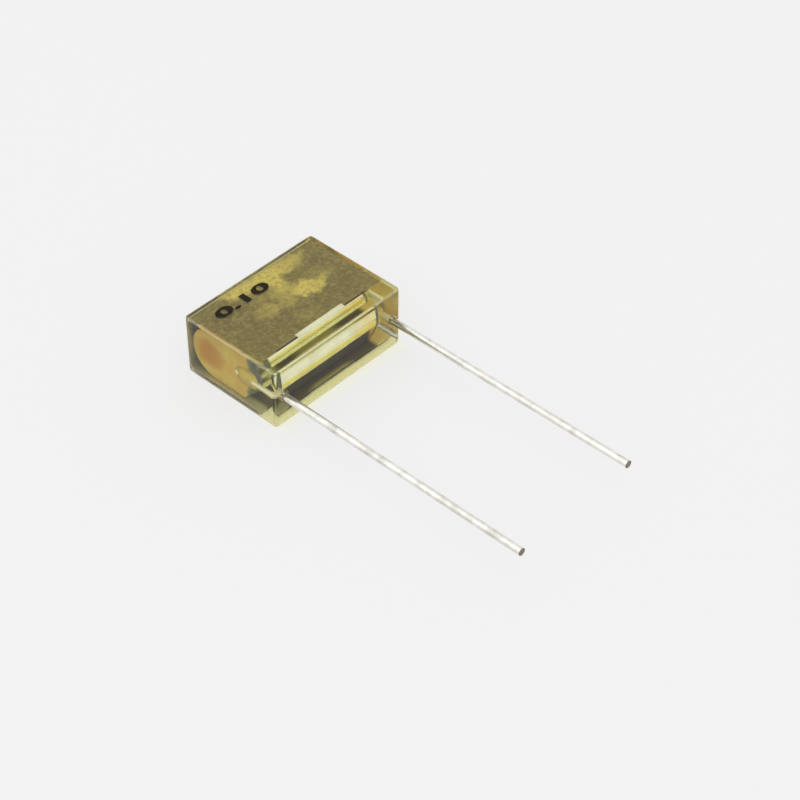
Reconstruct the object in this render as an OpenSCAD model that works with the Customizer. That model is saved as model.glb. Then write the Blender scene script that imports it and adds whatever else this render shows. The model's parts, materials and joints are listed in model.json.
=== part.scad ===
// Box film capacitor: a flattened roll of metallised film in a folded wrap, with sprayed ends
// and two tinned leads, cast in a clear resin block.
//
// The block lies on one of its two large faces. The origin is the centre of that face, +Z is up,
// +X runs from the left lead to the right lead, and the leads leave the block towards -Y.

/* [Cast block] */
// Height of the block, from the lead face to the back
block_h = 12.5; // [12:0.1:20]
// Thickness of the block, as it lies
block_t = 7.0; // [6:0.1:9]
// Resin from a lead's centre line out to the end face
end_cover = 1.18; // [1.15:0.01:3]
// Radius of the four upright edges
corner_r = 0.45; // [0.1:0.05:0.5]
// Radius of the long and short edges round the large faces
edge_r = 0.2; // [0.05:0.05:0.25]
// Radius of the fillet where the resin wets a lead
collar_r = 0.3; // [0.1:0.05:0.45]
// Resin left round a lead at the top of that fillet
collar_rim = 0.06; // [0.03:0.01:0.12]

/* [Outer wrap] */
// Thickness of the wrap
wrap_t = 0.15; // [0.08:0.01:0.3]
// Resin over and under the wrap
wrap_flat_cover = 0.3; // [0.2:0.05:0.6]
// Resin behind the wrap
wrap_back_cover = 0.15; // [0.1:0.05:1]
// Resin beyond the wrap's two side edges
wrap_end_cover = 0.5; // [0.3:0.05:1]
// Resin between the lead face and the wrap's open edges
wrap_lip_cover = 2.3; // [1.5:0.1:3.2]
// Outside radius of the wrap's two folds
fold_r = 0.6; // [0.4:0.05:1.5]
// Length of the notch in each open edge
notch_l = 6.5; // [3:0.1:11]
// Depth of the notch in each open edge
notch_d = 0.55; // [0.2:0.05:1.2]

/* [Winding] */
// Resin film between the winding and the wrap
film_gap = 0.05; // [0.02:0.01:0.15]
// Resin between the lead face and the winding's nose
nose_cover = 2.4; // [1.8:0.1:2.8]
// How far the winding sits off the middle, towards the left lead
winding_offset = 0.3; // [0:0.05:0.35]
// How deep the pressed flat is that takes the lower half of the winding's nose
nose_flat = 0.65; // [0.2:0.05:0.7]
// Thickness of the metal sprayed on each end of the winding
spray_t = 0.35; // [0.2:0.05:0.6]
// Radius round the rim of the sprayed metal
spray_rim_r = 0.15; // [0.05:0.05:0.3]

/* [Leads] */
// Lead pitch at the lead face
lead_pitch = 15.24; // [10.16:0.02:27.94]
// Diameter of the tinned wire
lead_d = 0.8; // [0.5:0.05:0.8]
// Length of each lead beyond the lead face
lead_l = 30; // [4:0.5:35]
// How far each lead reaches into the block
lead_reach = 5.85; // [5.4:0.05:7.5]
// How far the inner end of each lead leans in from the pitch line
lead_lean = 0.19; // [0.12:0.01:0.4]
// Radius of the slight bend where a lead leaves the resin
bend_r = 3; // [1.5:0.5:6]

/* [Solder joints] */
// Room between a lead's inner end and the sprayed metal, were the winding in the middle
solder_gap = 0.08; // [0.04:0.01:0.2]
// Solder over the lead's inner end
solder_cover = 0.12; // [0.06:0.01:0.2]
// Radius of the solder mound
solder_r = 1.2; // [1.1:0.05:1.25]
// Straight length of the solder mound along the lead
solder_l = 1.0; // [0.5:0.1:1.2]
// Solder past the lead's inner end
solder_over = 0.35; // [0.1:0.05:0.6]

/* [Hidden] */
$fn = 64;

left = -1;
right = 1;
lead_r = lead_d / 2;

// The block's length follows from the pitch; its lead face and back stand at equal distances
block_l = lead_pitch + 2 * end_cover;
lead_face_y = -block_h / 2;
back_y = block_h / 2;
mid_z = block_t / 2;

// The wrap, in height (Y) and thickness (Z)
wrap_l = block_l - 2 * wrap_end_cover;
wrap_lip_y = lead_face_y + wrap_lip_cover;
wrap_w = back_y - wrap_back_cover - wrap_lip_y;
wrap_h = block_t - 2 * wrap_flat_cover;

// The sprayed faces lie just inside the leads' inner ends, and the winding between the sprays.
// With the winding off the middle, the left lead is pressed into the sprayed metal.
lead_in_x = lead_pitch / 2 - lead_lean;
spray_x = lead_in_x - lead_r - solder_gap;
function spray_face_x(side) = spray_x - side * winding_offset;
rim_r = min(spray_rim_r, spray_t / 2);
roll_l = 2 * (spray_x - spray_t);
roll_t = wrap_h - 2 * (wrap_t + film_gap);
roll_nose_y = lead_face_y + nose_cover;
roll_back_y = back_y - wrap_back_cover - wrap_t - film_gap;
roll_w = roll_back_y - roll_nose_y;
roll_y = (roll_back_y + roll_nose_y) / 2;

// The leads bend at the top of the resin fillet, and lean in from there
bend_y = lead_face_y - collar_r;
free_l = lead_l - collar_r;
lead_end_y = lead_face_y + lead_reach;
lean_angle = atan(lead_lean / (lead_end_y - bend_y));
bend_tangent = bend_r * tan(lean_angle / 2);
inner_run = (lead_end_y - bend_y) / cos(lean_angle) - 2 * bend_tangent;

// The fillet's arc dips this far below the lead face, so that its foot has a clean edge
collar_dip = 0.03;
// Pieces that are fused or cut run on this far, so that no two faces only just meet
overrun = 0.1;

// ---- Shared shapes ----

// A rectangle with round corners, centred
module rounded_rectangle(w, h, r) {
    square([w - 2 * r, h], center = true);
    square([w, h - 2 * r], center = true);
    for (x = [-1, 1], y = [-1, 1])
        translate([x * (w / 2 - r), y * (h / 2 - r)])
            circle(r);
}

// The flattened roll's outline, centred: two straight sides and two half circles
module obround(w, t) {
    square([w - t, t], center = true);
    for (x = [-1, 1])
        translate([x * (w - t) / 2, 0])
            circle(d = t);
}

// Turns a shape drawn in its own plane to face along X: its x becomes Y and its y becomes Z
module facing_x() {
    rotate([90, 0, 90])
        children();
}

// Puts a shape made for the right-hand end on the side asked for
module on_side(side) {
    if (side == right)
        children();
    else
        mirror([1, 0, 0])
            children();
}

// ---- Leads ----

// One lead, at the right-hand end: a straight run, a slight bend and a leaning inner run
module lead_form() {
    translate([lead_pitch / 2, bend_y, mid_z])
        rotate([90, 0, 0])
            cylinder(h = free_l, r = lead_r);
    translate([lead_pitch / 2 - bend_r, bend_y, mid_z]) {
        rotate_extrude(angle = lean_angle)
            translate([bend_r, 0])
                circle(lead_r);
        rotate([0, 0, lean_angle])
            translate([bend_r, 0, 0])
                rotate([-90, 0, 0])
                    cylinder(h = inner_run, r = lead_r);
    }
}

module lead(side) {
    color("gainsboro")
        on_side(side)
            lead_form();
}

// ---- Winding and its ends ----

// What the pressed flat takes off the roll, from its middle plane along X: below the nose, at 45 degrees
module nose_flat_cut(length) {
    translate([0, -(roll_w - roll_t) / 2, 0])
        facing_x()
            rotate(225)
                translate([roll_t / 2 - nose_flat, -roll_t, -overrun])
                    linear_extrude(length + 2 * overrun)
                        square([roll_t, 2 * roll_t]);
}

module winding() {
    color("olive")
        translate([-roll_l / 2 - winding_offset, roll_y, mid_z])
            difference() {
                facing_x()
                    linear_extrude(roll_l)
                        obround(roll_w, roll_t);
                nose_flat_cut(roll_l);
            }
}

// Half of the sprayed pad's section: flat on the winding, with a round outer rim
module spray_section() {
    square([roll_t / 2, spray_t - rim_r]);
    square([roll_t / 2 - rim_r, spray_t]);
    translate([roll_t / 2 - rim_r, spray_t - rim_r])
        circle(rim_r);
}

module end_spray(side) {
    straight = roll_w - roll_t;
    color("peru")
        on_side(side)
            difference() {
                translate([spray_face_x(side) - spray_t, roll_y, mid_z])
                    difference() {
                        facing_x() {
                            for (x = [-1, 1])
                                translate([x * straight / 2, 0, 0])
                                    rotate_extrude()
                                        spray_section();
                            translate([-straight / 2, 0, 0])
                                rotate([90, 0, 90])
                                    linear_extrude(straight) {
                                        spray_section();
                                        mirror([1, 0])
                                            spray_section();
                                    }
                        }
                        nose_flat_cut(spray_t);
                    }
                lead_form();
            }
}

// A mound of solder on the sprayed metal, with the lead's inner end buried in it
module solder_joint(side) {
    mound_y = lead_end_y + solder_over - solder_r - solder_l / 2;
    color("silver")
        on_side(side)
            difference() {
                translate([lead_in_x + lead_r + solder_cover - solder_r, mound_y, mid_z]) {
                    for (y = [-1, 1])
                        translate([0, y * solder_l / 2, 0])
                            sphere(solder_r);
                    translate([0, solder_l / 2, 0])
                        rotate([90, 0, 0])
                            cylinder(h = solder_l, r = solder_r);
                }
                translate([spray_face_x(side) - 2 * solder_r, mound_y - 3 * solder_r, mid_z - 2 * solder_r])
                    cube([2 * solder_r, 6 * solder_r, 4 * solder_r]);
                lead_form();
            }
}

// ---- Outer wrap ----

// The folded sheet's section: two flats joined by the back, open on the lead side
module wrap_section() {
    intersection() {
        difference() {
            rounded_rectangle(2 * wrap_w, wrap_h, fold_r);
            rounded_rectangle(2 * (wrap_w - wrap_t), wrap_h - 2 * wrap_t, fold_r - wrap_t);
        }
        translate([0, -wrap_h / 2])
            square([wrap_w, wrap_h]);
    }
}

module outer_wrap() {
    color("darkkhaki")
        difference() {
            translate([-wrap_l / 2, wrap_lip_y, mid_z])
                facing_x()
                    linear_extrude(wrap_l)
                        wrap_section();
            translate([-notch_l / 2, wrap_lip_y - overrun, 0])
                cube([notch_l, notch_d + overrun, block_t]);
        }
}

// ---- Resin block ----

// The outside of the casting: three crossed bars with round corners leave every edge rounded
module block_form() {
    intersection() {
        linear_extrude(block_t)
            rounded_rectangle(block_l, block_h, corner_r);
        translate([-block_l / 2, 0, mid_z])
            facing_x()
                linear_extrude(block_l)
                    rounded_rectangle(block_h, block_t, edge_r);
        translate([0, back_y, mid_z])
            rotate([90, 0, 0])
                linear_extrude(block_h)
                    rounded_rectangle(block_l, block_t, edge_r);
    }
}

// The fillet of resin that climbs a lead where it leaves the block
module collar() {
    foot_r = lead_r + collar_rim + collar_r;
    rotate_extrude()
        difference() {
            translate([0, -overrun])
                square([foot_r, collar_r + overrun]);
            translate([foot_r, collar_r - collar_dip])
                circle(collar_r);
        }
}

module resin_block() {
    color("khaki", 0.45)
        difference() {
            union() {
                block_form();
                for (side = [left, right])
                    translate([side * lead_pitch / 2, lead_face_y, mid_z])
                        rotate([90, 0, 0])
                            collar();
            }
            winding();
            outer_wrap();
            for (side = [left, right]) {
                end_spray(side);
                solder_joint(side);
                lead(side);
            }
        }
}

resin_block();
winding();
outer_wrap();
end_spray(left);  // end_spray_left
end_spray(right);  // end_spray_right
solder_joint(left);  // solder_joint_left
solder_joint(right);  // solder_joint_right
lead(left);  // lead_left
lead(right);  // lead_right
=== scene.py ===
"""Box film capacitor: a wrapped flat winding and its two leads, cast in a block of clear resin."""

import json
import math

import bmesh
import bpy
from mathutils import Matrix, Vector


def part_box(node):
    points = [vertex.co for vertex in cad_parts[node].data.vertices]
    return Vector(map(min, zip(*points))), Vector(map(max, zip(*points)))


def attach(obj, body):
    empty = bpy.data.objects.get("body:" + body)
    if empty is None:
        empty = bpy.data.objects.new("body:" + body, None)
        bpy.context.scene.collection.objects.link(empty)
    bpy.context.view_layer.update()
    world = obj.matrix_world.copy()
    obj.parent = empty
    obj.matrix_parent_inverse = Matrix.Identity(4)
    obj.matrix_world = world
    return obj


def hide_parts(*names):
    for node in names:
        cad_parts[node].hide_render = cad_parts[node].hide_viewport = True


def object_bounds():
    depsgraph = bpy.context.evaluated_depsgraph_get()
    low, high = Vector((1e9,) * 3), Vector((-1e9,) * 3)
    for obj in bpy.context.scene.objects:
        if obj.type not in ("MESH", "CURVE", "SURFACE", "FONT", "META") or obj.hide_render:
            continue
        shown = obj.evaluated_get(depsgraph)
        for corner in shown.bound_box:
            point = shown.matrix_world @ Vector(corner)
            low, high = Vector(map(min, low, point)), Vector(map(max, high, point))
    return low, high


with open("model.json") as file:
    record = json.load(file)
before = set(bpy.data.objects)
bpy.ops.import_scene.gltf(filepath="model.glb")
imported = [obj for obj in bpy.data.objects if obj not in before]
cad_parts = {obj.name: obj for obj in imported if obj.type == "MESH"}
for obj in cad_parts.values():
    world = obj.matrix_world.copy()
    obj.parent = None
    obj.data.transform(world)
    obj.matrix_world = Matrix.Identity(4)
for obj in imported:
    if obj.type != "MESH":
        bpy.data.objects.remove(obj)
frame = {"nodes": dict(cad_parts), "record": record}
cad_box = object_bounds()

MM = 0.001
LEFT, RIGHT = -1, 1


# ---- Sizes, read from the frame or shared with the solids ----

mounts = {mount["name"]: mount for mount in frame["record"]["mounts"]}

# The cast block. A fillet of resin stands on its lead face round each lead: its height, the
# resin left round the lead at its top, and how far its arc dips below the face.
RESIN_LOW, RESIN_HIGH = (Vector(corner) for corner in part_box("resin_block"))
LEAD_FACE_Y = mounts["lead_face"]["pos_m"][1]
BLOCK_LOW = Vector((RESIN_LOW.x, LEAD_FACE_Y, RESIN_LOW.z))
BLOCK_HIGH = RESIN_HIGH
CORNER_R = 0.45 * MM
EDGE_R = 0.2 * MM
COLLAR_H = LEAD_FACE_Y - RESIN_LOW.y
COLLAR_RIM = 0.06 * MM
COLLAR_DIP = 0.03 * MM

# The folded sheet, and the notch in both its open edges
WRAP_LOW, WRAP_HIGH = (Vector(corner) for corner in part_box("outer_wrap"))
WRAP_T = 0.15 * MM
FOLD_R = 0.6 * MM
NOTCH_L = 6.5 * MM
NOTCH_D = 0.55 * MM

# The flattened roll, the depth of the flat on its nose, and the radius that eases the flat
ROLL_LOW, ROLL_HIGH = (Vector(corner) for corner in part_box("winding"))
NOSE_FLAT = 0.65 * MM
NOSE_EASE = 0.5 * MM

LEAD_LOW, LEAD_HIGH = (Vector(corner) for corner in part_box("lead_right"))
LEAD_R = mounts["lead_right"]["dims"]["r_mm"] * MM
LEAD_X, BEND_Y, LEAD_Z = mounts["lead_right"]["pos_m"]

# The printed figures: their length, height and thickness, and how far in their lower left corner
# stands from the left end and from the back of the block
FIGURES = "0.10"
FIGURES_SIZE = Vector((6.9, 1.35, 0.012)) * MM
FIGURES_IN = Vector((2.15, 3.05)) * MM


# ---- Material nodes ----


class Value:
    """A socket in a material's node tree. Sums on it add Math nodes."""

    def __init__(self, finish, socket):
        self.finish, self.socket = finish, socket

    def beside(self, name):
        """Another output of the same node."""
        return Value(self.finish, self.socket.node.outputs[name])

    def _maths(self, operation, *operands):
        inputs = dict(enumerate(operands))
        return self.finish.node("ShaderNodeMath", {"operation": operation}, inputs)

    def __add__(self, other):
        return self._maths("ADD", self, other)

    def __sub__(self, other):
        return self._maths("SUBTRACT", self, other)

    def __rsub__(self, other):
        return self._maths("SUBTRACT", other, self)

    def __mul__(self, other):
        return self._maths("MULTIPLY", self, other)

    def __truediv__(self, other):
        return self._maths("DIVIDE", self, other)

    def __rtruediv__(self, other):
        return self._maths("DIVIDE", other, self)

    def __pow__(self, other):
        return self._maths("POWER", self, other)

    def __rpow__(self, other):
        return self._maths("POWER", other, self)

    __radd__ = __add__
    __rmul__ = __mul__

    def minimum(self, other):
        return self._maths("MINIMUM", self, other)

    def maximum(self, other):
        return self._maths("MAXIMUM", self, other)

    def absolute(self):
        return self._maths("ABSOLUTE", self)

    def between(self, low, high):
        """0 at low, 1 at high and smooth in between."""
        settings = {"interpolation_type": "SMOOTHSTEP"}
        inputs = {"Value": self, "From Min": low, "From Max": high}
        return self.finish.node("ShaderNodeMapRange", settings, inputs, "Result")


class Finish:
    """One material and the nodes that make it."""

    def __init__(self, name):
        self.material = bpy.data.materials.new(name)
        self.material.use_nodes = True
        self.tree = self.material.node_tree
        self.tree.nodes.clear()

    def node(self, kind, settings=None, inputs=None, output=0):
        """Adds a node, sets it, feeds its inputs and gives the output asked for."""
        node = self.tree.nodes.new(kind)
        for name, setting in (settings or {}).items():
            setattr(node, name, setting)
        for name, value in (inputs or {}).items():
            if isinstance(value, Value):
                self.tree.links.new(value.socket, node.inputs[name])
            else:
                node.inputs[name].default_value = value
        return Value(self, node.outputs[output]) if node.outputs else node

    def place(self):
        """Where the surface is on the object, in millimetres."""
        where = self.node("ShaderNodeTexCoord", output="Object")
        return self.vector_maths("SCALE", {0: where, "Scale": 1 / MM})

    def vector_maths(self, operation, inputs):
        return self.node("ShaderNodeVectorMath", {"operation": operation}, inputs)

    def axes(self, vector):
        separate = self.node("ShaderNodeSeparateXYZ", inputs={0: vector})
        return [separate.beside(axis) for axis in ("X", "Y", "Z")]

    def stretch(self, vector, scale):
        return self.vector_maths("MULTIPLY", {0: vector, 1: scale})

    def noise(self, vector, scale, detail=2.0, roughness=0.5, output="Fac"):
        inputs = {"Vector": vector, "Scale": scale, "Detail": detail, "Roughness": roughness}
        return self.node("ShaderNodeTexNoise", {}, inputs, output)

    def warp(self, vector, scale, amount):
        """The same place pushed about by a noise, so what is drawn there has ragged edges."""
        noise = self.noise(vector, scale, detail=6.0, roughness=0.6, output="Color")
        centred = self.vector_maths("SUBTRACT", {0: noise, 1: (0.5, 0.5, 0.5)})
        push = self.vector_maths("SCALE", {0: centred, "Scale": amount})
        return self.vector_maths("ADD", {0: vector, 1: push})

    def mix(self, share, first, second):
        """A colour between two, by share."""
        inputs = {"Factor": share, 6: first, 7: second}
        return self.node("ShaderNodeMix", {"data_type": "RGBA"}, inputs, 2)

    def bump(self, height, strength, distance):
        inputs = {"Height": height, "Strength": strength, "Distance": distance}
        return self.node("ShaderNodeBump", {}, inputs)

    def surface(self, **inputs):
        """The main shader. An input's name has its spaces as underlines."""
        named = {name.replace("_", " "): value for name, value in inputs.items()}
        return self.node("ShaderNodeBsdfPrincipled", {}, named)

    def blend(self, share, first, second):
        """A surface between two, by share."""
        return self.node("ShaderNodeMixShader", {}, {0: share, 1: first, 2: second})

    def finished(self, surface, volume=None):
        inputs = {"Surface": surface}
        if volume:
            inputs["Volume"] = volume
        self.node("ShaderNodeOutputMaterial", {}, inputs)
        return self.material


def colour(*levels):
    """A shader colour from the usual 0 to 255 values."""
    shares = (level / 255 for level in levels)
    linear = (((s + 0.055) / 1.055) ** 2.4 if s > 0.04045 else s / 12.92 for s in shares)
    return (*linear, 1.0)


# ---- Finishes, laid out in millimetres ----


def clear_resin():
    """Amber casting resin. The lead face set in the open and is clear; the rest face is dull."""
    finish = Finish("clear_resin")
    place = finish.place()
    axes = finish.axes(place)
    moulded = axes[1].between(LEAD_FACE_Y / MM + 0.02, LEAD_FACE_Y / MM + 0.2)
    resting = 1 - axes[2].between(0.02, 0.12)
    glass = finish.surface(
        Base_Color=(0.99, 0.975, 0.9, 1.0),
        Roughness=(moulded * 0.15).maximum(resting),
        IOR=1.55,
        Transmission_Weight=1.0,
        Specular_Tint=(0.3, 0.3, 0.3, 1.0),
        Normal=finish.bump(finish.noise(place, 0.35), 0.1, 0.05 * MM),
    )

    # A painted highlight: the edges, where two faces are near, are painted a little white for the
    # light they catch
    middle, half = (BLOCK_HIGH + BLOCK_LOW) / 2 / MM, (BLOCK_HIGH - BLOCK_LOW) / 2 / MM
    near = [
        (axis - centre).absolute().between(reach - 0.3, reach - 0.05)
        for axis, centre, reach in zip(axes, middle, half)
    ]
    edge = (near[0] * near[1]).maximum(near[1] * near[2]).maximum(near[0] * near[2])
    edge_highlight = finish.node("ShaderNodeBsdfDiffuse", {}, {"Color": colour(226, 222, 196)})
    glass = finish.blend(edge * 0.3, glass, edge_highlight)

    # Lamps shine through to the inner pieces, and the depth of resin gives the colour
    pass_on = finish.node("ShaderNodeBsdfTransparent", {}, {"Color": (0.95, 0.95, 0.9, 1.0)})
    to_lamp = finish.node("ShaderNodeLightPath", output="Is Shadow Ray")
    amber = {"Color": (0.9, 0.92, 0.15, 1.0), "Density": 66.0}
    tint = finish.node("ShaderNodeVolumeAbsorption", {}, amber)
    return finish.finished(finish.blend(to_lamp, glass, pass_on), tint)


# Where the resin has wetted the sheet through: centre, reach and strength
WETTED = (
    ((-2.2, 5.2), (2.85, 1.71), 0.765),
    ((-3.6, 5.5), (2.28, 1.14), 0.405),
    ((-0.2, 4.9), (2.66, 1.9), 0.45),
    ((3.0, 5.0), (4.18, 1.71), 0.72),
    ((1.2, 4.0), (1.71, 2.47), 0.585),
    ((0.6, 2.5), (1.52, 1.9), 0.45),
    ((-1.9, 3.0), (2.09, 1.9), 0.27),
    ((-2.4, 0.9), (1.9, 1.33), 0.45),
    ((-0.2, 0.6), (1.14, 1.71), 0.405),
    ((3.0, 0.5), (2.09, 1.33), 0.9),
    ((1.9, 0.9), (1.52, 1.52), 0.54),
    ((5.2, 0.7), (1.52, 0.76), 0.45),
    ((4.9, 1.6), (2.28, 1.52), 0.18),
    ((-0.4, -2.0), (1.71, 1.33), 0.27),
)


def spot(across, up, centre, reach):
    """1 at the centre of an oval spot and 0 from its rim on."""
    away = ((across - centre[0]) / reach[0]) ** 2 + ((up - centre[1]) / reach[1]) ** 2
    return 1 - away.between(0.0, 1.0)


def wrap_outside(finish, place, grain, gold):
    """The sheet's outer side: olive, clouded with gold and flecked."""
    fine = finish.noise(place, 2.6, detail=4.0, roughness=0.7)
    broad = finish.noise(place, 0.3)
    olive = finish.mix(broad.between(0.35, 0.65), colour(158, 145, 86), colour(148, 130, 76))
    olive = finish.mix(grain.between(0.35, 0.65) * 0.7, olive, colour(130, 122, 58))
    shade = finish.mix(gold, olive, colour(240, 222, 116))
    dark_flecks, light_flecks = fine.between(0.4, 0.68), 1 - fine.between(0.36, 0.48)
    shade = finish.mix(dark_flecks * 0.5, shade, colour(96, 84, 40))
    return finish.mix(light_flecks * 0.5, shade, colour(180, 164, 94))


def wrap_inside(finish, along, deep):
    """The sheet's inner side: painted shade, dark where the winding shades it, and painted light,
    paler where light comes in past the winding.
    """
    open_edge, notch_end = WRAP_LOW.y / MM, NOTCH_L / 2 / MM
    by_notch = 1 - along.absolute().between(notch_end - 1.6, notch_end + 0.2)
    by_notch = by_notch * (1 - deep.between(open_edge + 1.0, open_edge + 1.8))
    past_left = 1 - along.between(ROLL_LOW.x / MM + 0.5, ROLL_LOW.x / MM + 1.9)
    past_left = past_left.maximum(deep.between(2.0, 4.0))
    past_right = along.between(ROLL_HIGH.x / MM - 0.2, ROLL_HIGH.x / MM + 0.5)
    # Painted shade and light: dark under the winding, paler by the notch, towards the back and past
    # the winding's ends
    shade = finish.mix(by_notch, colour(94, 80, 12), colour(176, 164, 84))
    shade = finish.mix(past_left, shade, colour(196, 194, 164))
    return finish.mix(past_right, shade, colour(255, 232, 156))


def wrap_sheet():
    """Metallised sheet, clouded where the resin has wetted it; painted shade and light inside, a
    painted shadow at its cut edges.
    """
    finish = Finish("wrap_sheet")
    place = finish.place()
    x, y, _ = finish.axes(finish.warp(place, 0.75, 3.2))
    cloud = sum(spot(x, y, centre, reach) * strength for centre, reach, strength in WETTED)
    grain = finish.noise(place, 1.3, detail=6.0, roughness=0.65)
    gold = (cloud + (grain - 0.5) * 0.9).between(-0.1, 1.1)

    along, deep, high = finish.axes(place)
    middle, half = (WRAP_HIGH.z + WRAP_LOW.z) / 2 / MM, (WRAP_HIGH.z - WRAP_LOW.z) / 2 / MM
    outside = (high - middle).absolute().between(half - 0.13, half - 0.05)
    back = deep.between(WRAP_HIGH.y / MM - 0.13, WRAP_HIGH.y / MM - 0.05)
    inner, outer = wrap_inside(finish, along, deep), wrap_outside(finish, place, grain, gold)
    shade = finish.mix(outside.maximum(back), inner, outer)
    # Painted shadow: a dark line along the open edges, over the middle run, for the shaded gap
    # between the lip and the roll
    lip_shadow = 1 - deep.between(WRAP_LOW.y / MM + 0.1, WRAP_LOW.y / MM + 0.18)
    middle_run = 1 - along.absolute().between(WRAP_HIGH.x / MM - 2.4, WRAP_HIGH.x / MM - 1.8)
    surface = finish.surface(
        Base_Color=finish.mix(lip_shadow * middle_run, shade, colour(30, 24, 10)),
        Metallic=0.3,
        Roughness=0.42 - gold * 0.1 + grain * 0.1,
        Normal=finish.bump(grain, 0.25, 0.03 * MM),
    )
    return finish.finished(surface)


def metallised_film():
    """The winding's outer turn: mirror-bright film, drawn tight, and yellower to the right."""
    finish = Finish("metallised_film")
    place = finish.place()
    streaks = finish.noise(finish.stretch(place, (0.12, 1.5, 1.5)), 1.0)
    clouds = finish.noise(place, 0.5, detail=3.0)
    silver = finish.mix(clouds.between(0.35, 0.7), colour(240, 240, 234), colour(228, 228, 214))
    yellowed = finish.axes(place)[0].between(2.5, 5.0) * clouds
    surface = finish.surface(
        Base_Color=finish.mix(yellowed, silver, colour(236, 208, 120)),
        Metallic=0.97,
        Roughness=0.07 + streaks * 0.05,
        Normal=finish.bump(streaks, 0.08, 0.03 * MM),
    )
    return finish.finished(surface)


def sprayed_metal():
    """Sprayed end metal, stained orange at its back and left blue-grey towards the leads."""
    finish = Finish("sprayed_metal")
    place = finish.place()
    _, deep, high = finish.axes(finish.warp(place, 0.6, 1.4))
    patches = finish.noise(place, 0.55, detail=4.0, roughness=0.55)
    grain = finish.noise(place, 9.0, detail=4.0, roughness=0.7)
    stain = spot(deep, high, (3.4, 3.5), (2.4, 2.2))
    bare = (deep * -0.6 + patches).between(1.4, 1.9)
    shade = finish.mix(patches.between(0.35, 0.65), colour(236, 200, 104), colour(240, 214, 122))
    shade = finish.mix(stain * 0.9, shade, colour(212, 148, 44))
    surface = finish.surface(
        Base_Color=finish.mix(bare, shade, colour(112, 118, 102)),
        Metallic=0.1,
        Roughness=0.6 + grain * 0.15,
        Normal=finish.bump(grain, 0.5, 0.06 * MM),
    )
    return finish.finished(surface)


def solder():
    """Dull solder, stained amber by its flux."""
    finish = Finish("solder")
    place = finish.place()
    dull = finish.noise(place, 1.2, detail=4.0)
    stain = finish.noise(place, 0.6, detail=3.0).between(0.35, 0.6)
    grey = finish.mix(dull, colour(196, 184, 132), colour(222, 212, 164))
    surface = finish.surface(
        Base_Color=finish.mix(stain, grey, colour(228, 206, 108)),
        Metallic=0.4,
        Roughness=0.45 + dull * 0.2,
        Normal=finish.bump(dull, 0.3, 0.05 * MM),
    )
    return finish.finished(surface)


def tinned_wire():
    """Bright tin with dull patches, dark where cropped, and in the resin yellower and less bright:
    painted light, a paler and less metallic tin there.
    """
    finish = Finish("tinned_wire")
    place = finish.place()
    along = finish.axes(place)[1]
    drawn = finish.noise(finish.stretch(place, (3.0, 0.15, 3.0)), 3.0, detail=3.0)
    dull = finish.noise(place, 0.8, detail=3.0)
    cropped = 1 - along.between(LEAD_LOW.y / MM + 0.02, LEAD_LOW.y / MM + 0.12)
    # Painted light: in the resin the wire takes a paler, less metallic colour for how it is lit
    # there
    brightened_in_resin = along.between(LEAD_FACE_Y / MM + 0.1, LEAD_FACE_Y / MM + 0.5)
    tin = finish.mix(dull.between(0.35, 0.75), colour(238, 236, 230), colour(208, 205, 196))
    tin = finish.mix(brightened_in_resin, tin, colour(255, 250, 218))
    surface = finish.surface(
        Base_Color=finish.mix(cropped, tin, colour(122, 112, 98)),
        Metallic=0.95 - brightened_in_resin * 0.45,
        Roughness=0.16 + dull * 0.14,
        Normal=finish.bump(drawn, 0.15, 0.01 * MM),
    )
    return finish.finished(surface)


def ink():
    """Black marking ink, thin in places."""
    finish = Finish("marking_ink")
    thin = finish.noise(finish.place(), 5.0, detail=3.0)
    surface = finish.surface(
        Base_Color=finish.mix(thin.between(0.4, 0.8), colour(30, 24, 12), colour(50, 42, 22)),
        Roughness=0.5 + thin * 0.2,
        Specular_IOR_Level=0.1,
    )
    return finish.finished(surface)


def pale_floor():
    """A pale surface, shown to the camera, to gloss and to resin by its colour more than its light.

    Light out of the resin yellows it, under and just in front of the block's lead side.
    """
    finish = Finish("pale_floor")
    x, y, _ = finish.axes(finish.place())
    side, face = WRAP_HIGH.x / MM, BLOCK_LOW.y / MM
    front, back = WRAP_LOW.y / MM, WRAP_HIGH.y / MM
    rays = finish.node("ShaderNodeLightPath")
    to_camera, to_gloss, to_resin = (
        rays.beside(name) for name in ("Is Camera Ray", "Is Glossy Ray", "Is Transmission Ray")
    )
    behind_front = y.between(front, front + 0.8)

    # Painted light: a pale yellow-green glow along the lead side from light out of the resin, faint
    # where it isn't seen through the resin
    strip = y.between(face - 1.6, face - 0.3) * (1 - behind_front)
    strip = strip * (1 - x.absolute().between(side, side + 1.0)) * (1 - to_camera * 0.75)
    # Painted light: a golden glow in front of it, which only the resin sees
    beyond = y.between(face - 11.0, face - 2.5) * (1 - y.between(face - 0.6, face)) * to_resin
    beyond = beyond * (1 - x.absolute().between(20.0, 40.0))
    pale = finish.mix(beyond, colour(240, 240, 240), colour(240, 226, 112))
    pale = finish.mix(strip, pale, colour(252, 250, 200))

    # Under the wrap, only the light that falls there shows
    under = (1 - x.absolute().between(side - 0.3, side + 0.3)) * behind_front
    under = under * (1 - y.between(back - 0.5, back + 0.2))
    share = (to_camera + to_gloss + to_resin).minimum(1.0) * (1 - under) * 0.8
    lit = finish.node("ShaderNodeBsdfDiffuse", {}, {"Color": pale})
    plain = finish.node("ShaderNodeEmission", {}, {"Color": pale, "Strength": 1.0})
    return finish.finished(finish.blend(share, lit, plain))


# ---- Making meshes ----


def new_piece(name, data, *materials):
    piece = bpy.data.objects.new(name, data)
    bpy.context.scene.collection.objects.link(piece)
    for material in materials:
        piece.data.materials.append(material)
    return piece


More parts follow.
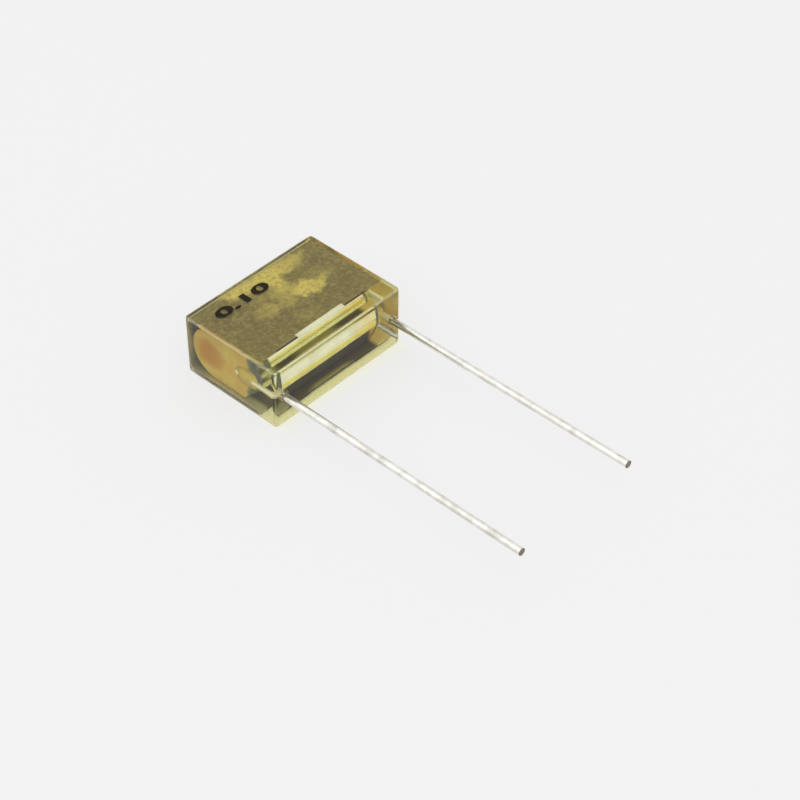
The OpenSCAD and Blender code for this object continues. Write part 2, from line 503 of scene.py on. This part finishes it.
def mesh_from(build):
    """A mesh from a function that fills a bmesh."""
    shape = bmesh.new()
    build(shape)
    bmesh.ops.recalc_face_normals(shape, faces=shape.faces)
    mesh = bpy.data.meshes.new("shape")
    shape.to_mesh(mesh)
    shape.free()
    return mesh


def plain_mesh(piece):
    """A piece's mesh, with its modifiers applied."""
    graph = bpy.context.evaluated_depsgraph_get()
    return bpy.data.meshes.new_from_object(piece.evaluated_get(graph))


def settle(piece):
    """Applies a piece's modifiers, so that it is a plain mesh."""
    mesh = plain_mesh(piece)
    piece.modifiers.clear()
    piece.data = mesh
    return piece


def combine(piece, mesh, operation):
    """Fuses a mesh to a piece, or cuts it out."""
    tool = new_piece("tool", mesh)
    modifier = piece.modifiers.new("combine", "BOOLEAN")
    modifier.operation, modifier.solver, modifier.object = operation, "EXACT", tool
    settle(piece)
    bpy.data.objects.remove(tool)


def smooth(piece, angle=35.0):
    """Smooth shading that keeps flat faces flat."""
    piece.data.shade_smooth()
    piece.data.set_sharp_from_angle(angle=math.radians(angle))
    modifier = piece.modifiers.new("flat_faces", "WEIGHTED_NORMAL")
    modifier.keep_sharp = True
    modifier.weight = 100
    return settle(piece)


def arc(centre, radius, start, end, steps):
    """Points on an arc, from one angle to another, in degrees."""
    turns = [math.radians(start + (end - start) * i / steps) for i in range(steps + 1)]
    return [(centre[0] + radius * math.cos(t), centre[1] + radius * math.sin(t)) for t in turns]


def swept(section, low_x, high_x):
    """A mesh with a closed section, given as (y, z) points, run along X between capped ends."""

    def build(shape):
        near, far = [[shape.verts.new((x, y, z)) for y, z in section] for x in (low_x, high_x)]
        for i in range(len(section)):
            j = (i + 1) % len(section)
            shape.faces.new((near[i], near[j], far[j], far[i]))
        shape.faces.new(near)
        shape.faces.new(reversed(far))

    return mesh_from(build)


def add_box(shape, low, high):
    matrix = Matrix.Translation((low + high) / 2) @ Matrix.Diagonal((*(high - low), 1.0))
    bmesh.ops.create_cube(shape, size=1.0, matrix=matrix)


def round_edges(shape, edges, radius, segments):
    bmesh.ops.bevel(
        shape,
        geom=edges,
        offset=radius,
        segments=segments,
        profile=0.5,
        affect="EDGES",
        clamp_overlap=False,
    )


# ---- Pieces ----


def plain_block(shape):
    """The block without its fillets: four upright corners, and rims round both large faces."""
    add_box(shape, BLOCK_LOW, BLOCK_HIGH)
    upright = [e for e in shape.edges if abs((e.verts[0].co - e.verts[1].co).z) > EDGE_R]
    round_edges(shape, upright, CORNER_R, segments=10)
    large = [f for f in shape.faces if abs(f.normal.z) > 0.9]
    round_edges(shape, [e for f in large for e in f.edges], EDGE_R, segments=6)


def collar(side):
    """The fillet of resin that climbs one lead. It starts inside the block, to fuse with it."""
    foot = LEAD_R + COLLAR_RIM + COLLAR_H
    # How far the arc is from upright where it ends at the rim, in degrees
    tilt_at_rim = 5.7
    curve = arc((foot, COLLAR_H - COLLAR_DIP), COLLAR_H, 180 - tilt_at_rim, 270, steps=10)
    profile = [(0, COLLAR_H), *curve, (foot, -COLLAR_H), (0, -COLLAR_H)]

    def build(shape):
        verts = [shape.verts.new((radius, 0, height)) for radius, height in profile]
        edges = [shape.edges.new(pair) for pair in zip(verts, verts[1:])]
        turn = {"axis": (0, 0, 1), "cent": (0, 0, 0), "angle": math.tau, "steps": 48}
        bmesh.ops.spin(shape, geom=verts + edges, use_merge=True, **turn)
        bmesh.ops.remove_doubles(shape, verts=shape.verts, dist=0.001 * MM)
        to_lead_face = Matrix.Translation((side * LEAD_X, LEAD_FACE_Y, LEAD_Z))
        shape.transform(to_lead_face @ Matrix.Rotation(math.pi / 2, 4, "X"))

    return mesh_from(build)


def cast_block():
    """The outside of the casting, with a fillet of resin climbing each lead."""

    def collars(shape):
        for side in (LEFT, RIGHT):
            shape.from_mesh(collar(side))

    piece = new_piece("cast_block", mesh_from(plain_block), clear_resin())
    combine(piece, mesh_from(collars), "UNION")
    return smooth(piece)


def wound_roll():
    """The flattened winding: round sides, and a flat on the lower half of the nose."""
    radius = (ROLL_HIGH.z - ROLL_LOW.z) / 2
    middle = (ROLL_HIGH.z + ROLL_LOW.z) / 2
    nose = (ROLL_LOW.y + radius, middle)

    # The flat faces forwards and down, and small arcs ease both its edges
    facing = 225
    reach = radius - NOSE_EASE
    half = math.acos((reach - NOSE_FLAT) / reach)
    eased = []
    for turn in (-half, half):
        direction = math.radians(facing) + turn
        eased.append((nose[0] + reach * math.cos(direction), nose[1] + reach * math.sin(direction)))
    bend = math.degrees(half)

    section = arc(nose, radius, 90, facing - bend, steps=56)
    section += arc(eased[0], NOSE_EASE, facing - bend, facing, steps=10)[1:]
    section += arc(eased[1], NOSE_EASE, facing, facing + bend, steps=10)
    section += arc(nose, radius, facing + bend, 270, steps=4)[1:]
    section += arc((ROLL_HIGH.y - radius, middle), radius, -90, 90, steps=64)
    mesh = swept(section, ROLL_LOW.x, ROLL_HIGH.x)
    return smooth(new_piece("wound_roll", mesh, metallised_film()))


def folded_wrap():
    """The folded sheet, open towards the leads, with a notch in both open edges."""
    upper_fold = (WRAP_HIGH.y - FOLD_R, WRAP_HIGH.z - FOLD_R)
    lower_fold = (WRAP_HIGH.y - FOLD_R, WRAP_LOW.z + FOLD_R)
    inner_r, steps = FOLD_R - WRAP_T, 12
    section = [(WRAP_LOW.y, WRAP_HIGH.z)]
    section += arc(upper_fold, FOLD_R, 90, 0, steps)
    section += arc(lower_fold, FOLD_R, 0, -90, steps)
    section += [(WRAP_LOW.y, WRAP_LOW.z), (WRAP_LOW.y, WRAP_LOW.z + WRAP_T)]
    section += arc(lower_fold, inner_r, -90, 0, steps)
    section += arc(upper_fold, inner_r, 0, 90, steps)
    section += [(WRAP_LOW.y, WRAP_HIGH.z - WRAP_T)]
    mesh = swept(section, WRAP_LOW.x, WRAP_HIGH.x)
    piece = new_piece("folded_wrap", mesh, wrap_sheet())

    low = Vector((-NOTCH_L / 2, WRAP_LOW.y - NOTCH_D, WRAP_LOW.z - NOTCH_D))
    high = Vector((NOTCH_L / 2, WRAP_LOW.y + NOTCH_D, WRAP_HIGH.z + NOTCH_D))
    combine(piece, mesh_from(lambda shape: add_box(shape, low, high)), "DIFFERENCE")
    return smooth(piece)


def wire_tree(material):
    """Nodes that run a round wire along a route."""
    tree = bpy.data.node_groups.new("wire_along_route", "GeometryNodeTree")
    for name, way, kind in (
        ("Geometry", "INPUT", "NodeSocketGeometry"),
        ("Radius", "INPUT", "NodeSocketFloat"),
        ("Sides", "INPUT", "NodeSocketInt"),
        ("Geometry", "OUTPUT", "NodeSocketGeometry"),
    ):
        tree.interface.new_socket(name, in_out=way, socket_type=kind)
    given, route, section, sweep, real, dress, result = (
        tree.nodes.new(kind)
        for kind in (
            "NodeGroupInput",
            "GeometryNodeMeshToCurve",
            "GeometryNodeCurvePrimitiveCircle",
            "GeometryNodeCurveToMesh",
            "GeometryNodeRealizeInstances",
            "GeometryNodeSetMaterial",
            "NodeGroupOutput",
        )
    )
    sweep.inputs["Fill Caps"].default_value = True
    dress.inputs["Material"].default_value = material
    for source, output, target, socket in (
        (given, "Geometry", route, "Mesh"),
        (given, "Radius", section, "Radius"),
        (given, "Sides", section, "Resolution"),
        (route, "Curve", sweep, "Curve"),
        (section, "Curve", sweep, "Profile Curve"),
        (sweep, "Mesh", real, "Geometry"),
        (real, "Geometry", dress, "Geometry"),
        (dress, "Geometry", result, "Geometry"),
    ):
        tree.links.new(source.outputs[output], target.inputs[socket])
    return tree


def lead_wire(side, tree, material):
    """One lead, from its cut tip to the bend at the resin and on to its inner end."""
    tip = Vector((side * LEAD_X, LEAD_LOW.y, LEAD_Z))
    bend = Vector((side * LEAD_X, BEND_Y, LEAD_Z))
    inner = Vector((side * (LEAD_LOW.x + LEAD_R), LEAD_HIGH.y, LEAD_Z))
    mesh = bpy.data.meshes.new("route")
    mesh.from_pydata([tip, bend, inner], [(0, 1), (1, 2)], [])
    piece = new_piece("lead_wire_" + ("left" if side == LEFT else "right"), mesh, material)
    modifier = piece.modifiers.new("wire", "NODES")
    modifier.node_group = tree
    sizes = {"Radius": LEAD_R, "Sides": 40}
    for item in tree.interface.items_tree:
        if item.name in sizes:
            modifier[item.identifier] = sizes[item.name]
    return smooth(settle(piece), angle=50)


def marking():
    """Plain figures printed on the upper face, a quarter of their thickness sunk in it."""
    curve = bpy.data.curves.new("figures", "FONT")
    curve.body = FIGURES
    # Bolder strokes and any thickness, in the font's own units, before the figures are scaled
    curve.offset = 0.035
    curve.extrude = 0.01
    text = new_piece("figures", curve)
    mesh = plain_mesh(text)
    bpy.data.objects.remove(text)
    low, high = (
        Vector([pick(v.co[i] for v in mesh.vertices) for i in range(3)]) for pick in (min, max)
    )
    scale = Matrix.Diagonal([wanted / drawn for wanted, drawn in zip(FIGURES_SIZE, high - low)])
    sunk = BLOCK_HIGH.z - FIGURES_SIZE.z / 4
    corner = Vector((BLOCK_LOW.x + FIGURES_IN.x, BLOCK_HIGH.y - FIGURES_IN.y, sunk))
    mesh.transform(Matrix.Translation(corner) @ scale.to_4x4() @ Matrix.Translation(-low))
    return new_piece("marking", mesh, ink())


# ---- The object ----

resin = cast_block()
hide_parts("resin_block")
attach(resin, "root")

roll = wound_roll()
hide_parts("winding")
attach(roll, "root")

wrap = folded_wrap()
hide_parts("outer_wrap")
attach(wrap, "root")

wire_finish = tinned_wire()
along_route = wire_tree(wire_finish)
for side, name in ((LEFT, "left"), (RIGHT, "right")):
    wire = lead_wire(side, along_route, wire_finish)
    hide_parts("lead_" + name)
    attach(wire, "root")

# The sprayed ends and the solder keep the solids' own meshes
spray_finish, solder_finish = sprayed_metal(), solder()
for name in ("left", "right"):
    for kind, material in (("end_spray_", spray_finish), ("solder_joint_", solder_finish)):
        node_mesh = frame["nodes"][kind + name].data
        node_mesh.materials.clear()
        node_mesh.materials.append(material)

figures = marking()
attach(figures, "root")


# ---- Floor, light and camera ----

FLOOR_HALF = 0.5
FLOOR_GAP = 0.01 * MM
WORLD_STRENGTH = 0.92
KEY_PLACE = Vector((-0.25, -0.05, 0.4))
KEY_SIZE, KEY_POWER = 1.0, 1.2
CAMERA_PLACE = Vector((-112.27, -117.49, 144.14)) * MM
CAMERA_AZIMUTH, CAMERA_ELEVATION, CAMERA_ROLL = -47.43, 42.8, 0.37
SENSOR_WIDTH, FOCAL_LENGTH = 36.0, 97.2
NEAREST, FURTHEST = 0.01, 10.0


def link(name, data, place, turned):
    """Puts a lamp or a camera in the scene. It looks along its own -Z."""
    holder = bpy.data.objects.new(name, data)
    bpy.context.scene.collection.objects.link(holder)
    holder.location = place
    holder.rotation_euler = turned.to_euler()
    return holder


square = ((-1, -1), (1, -1), (1, 1), (-1, 1))
floor_mesh = bpy.data.meshes.new("floor")
floor_mesh.from_pydata([(x * FLOOR_HALF, y * FLOOR_HALF, 0) for x, y in square], [], [(0, 1, 2, 3)])
floor = new_piece("floor", floor_mesh, pale_floor())
floor.location.z = cad_box[0][2] - FLOOR_GAP

world = bpy.data.worlds.new("studio")
world.use_nodes = True
backdrop = world.node_tree.nodes["Background"]
backdrop.inputs["Color"].default_value = (1.0, 1.0, 1.0, 1.0)
backdrop.inputs["Strength"].default_value = WORLD_STRENGTH
bpy.context.scene.world = world

key = bpy.data.lights.new("key", "AREA")
key.shape, key.size, key.energy = "SQUARE", KEY_SIZE, KEY_POWER
to_block = (BLOCK_LOW + BLOCK_HIGH) / 2 - KEY_PLACE
link("key", key, KEY_PLACE, to_block.to_track_quat("-Z", "Y"))

camera = bpy.data.cameras.new("camera")
camera.sensor_width, camera.lens = SENSOR_WIDTH, FOCAL_LENGTH
camera.clip_start, camera.clip_end = NEAREST, FURTHEST
azimuth, elevation = math.radians(CAMERA_AZIMUTH), math.radians(CAMERA_ELEVATION)
level = math.cos(elevation)
away = Vector((math.sin(azimuth) * level, -math.cos(azimuth) * level, math.sin(elevation)))
upright = away.to_track_quat("Z", "Y").to_matrix()
rolled = upright @ Matrix.Rotation(math.radians(CAMERA_ROLL), 3, "Z")
bpy.context.scene.camera = link("camera", camera, CAMERA_PLACE, rolled)

bpy.context.scene.view_settings.view_transform = "Standard"
